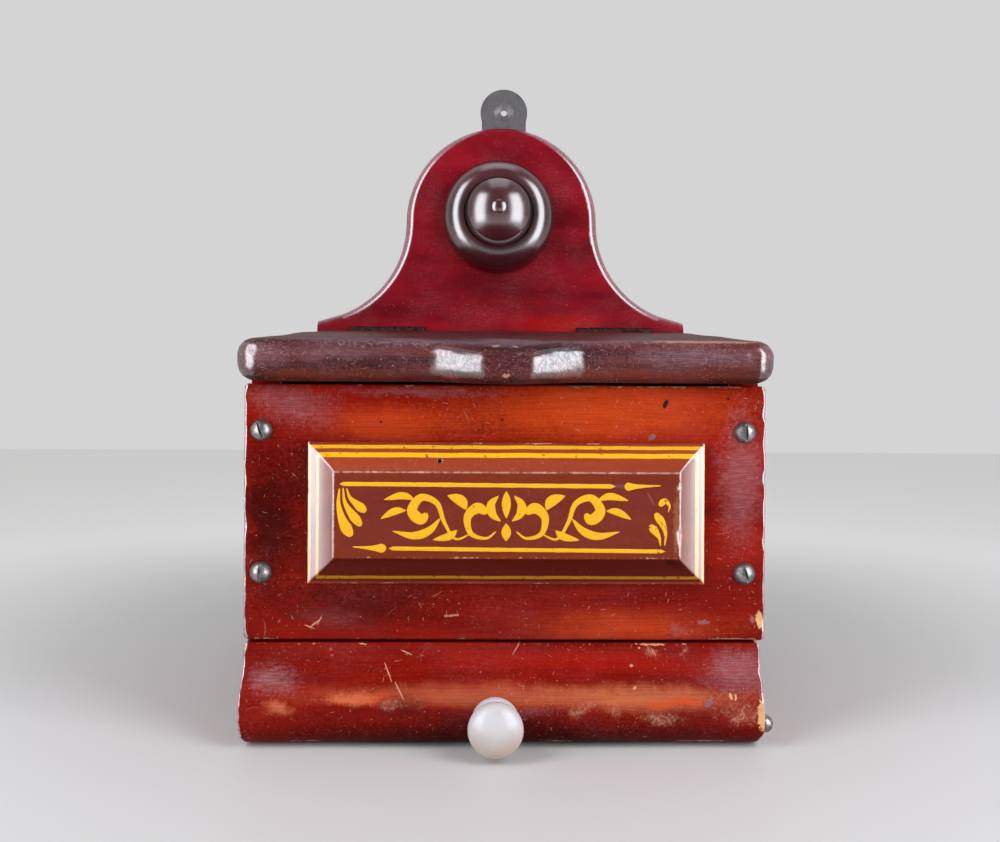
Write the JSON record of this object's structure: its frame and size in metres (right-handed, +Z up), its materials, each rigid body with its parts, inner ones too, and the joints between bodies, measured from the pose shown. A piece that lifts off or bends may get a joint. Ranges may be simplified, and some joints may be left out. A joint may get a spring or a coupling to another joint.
{
  "type": "wall salt box",
  "caption": "Wooden wall salt box with a crested backboard, a sloping hinged lid, a small drawer below with a porcelain knob, and a metal hanging plate.",
  "frame": {"origin": "middle of the case's underside: half way across, and half way between the front board's face and the back of the backboard", "axes": "+Z up, +X to the right when looking at the front, +Y from the front to the back, so the front faces -Y"},
  "size_m": [0.19, 0.1685, 0.2872],
  "materials": {
    "stained_mahogany": "red-brown stain under worn shellac polish",
    "worn_mahogany": "red-brown stain, dusty and rubbed thin on top",
    "turned_beech": "dark red-brown stain, glossy polish",
    "deal": "bare planed softwood, darkened with age",
    "galvanised_plate": "dull grey zinc over steel",
    "hinge_steel": "tarnished steel",
    "screw_steel": "bright steel gone dull",
    "iron": "dark oxidised iron wire",
    "porcelain": "glossy white glaze"
  },
  "bodies": {
    "case": {"backboard": "stained_mahogany", "side_left": "stained_mahogany", "side_right": "stained_mahogany", "front_board": "stained_mahogany", "compartment_floor": "deal", "base_board": "deal", "plaque": "stained_mahogany", "plaque_pins": "iron", "boss": "turned_beech", "hanging_plate": "galvanised_plate", "hanging_plate_screws": "hinge_steel", "front_screws": "screw_steel", "hinge_plate_left": "hinge_steel", "hinge_plate_right": "hinge_steel", "hinge_pin_left": "hinge_steel", "hinge_pin_right": "hinge_steel", "hinge_plate_screws": "hinge_steel", "backboard_nails": "iron", "floor_nails": "iron", "base_nails": "iron"},
    "lid": {"lid": "worn_mahogany", "lid_leaf_left": "hinge_steel", "lid_leaf_right": "hinge_steel", "lid_leaf_screws": "hinge_steel"},
    "drawer": {"drawer_front": "stained_mahogany", "drawer_side_left": "deal", "drawer_side_right": "deal", "drawer_back": "deal", "drawer_bottom": "deal", "drawer_knob": "porcelain", "knob_stem": "screw_steel", "drawer_end_screw": "screw_steel", "drawer_nails": "iron"}
  },
  "joints": [
    {"name": "lid_hinge", "type": "hinge", "parent": "case", "child": "lid", "pos_m": [0, 0.0617, 0.16059], "axis": [-1, 0, 0], "range_deg": [0, 72]},
    {"name": "drawer_slide", "type": "slide", "parent": "case", "child": "drawer", "axis": [0, -1, 0], "range_m": [0, 0.1]}
  ]
}
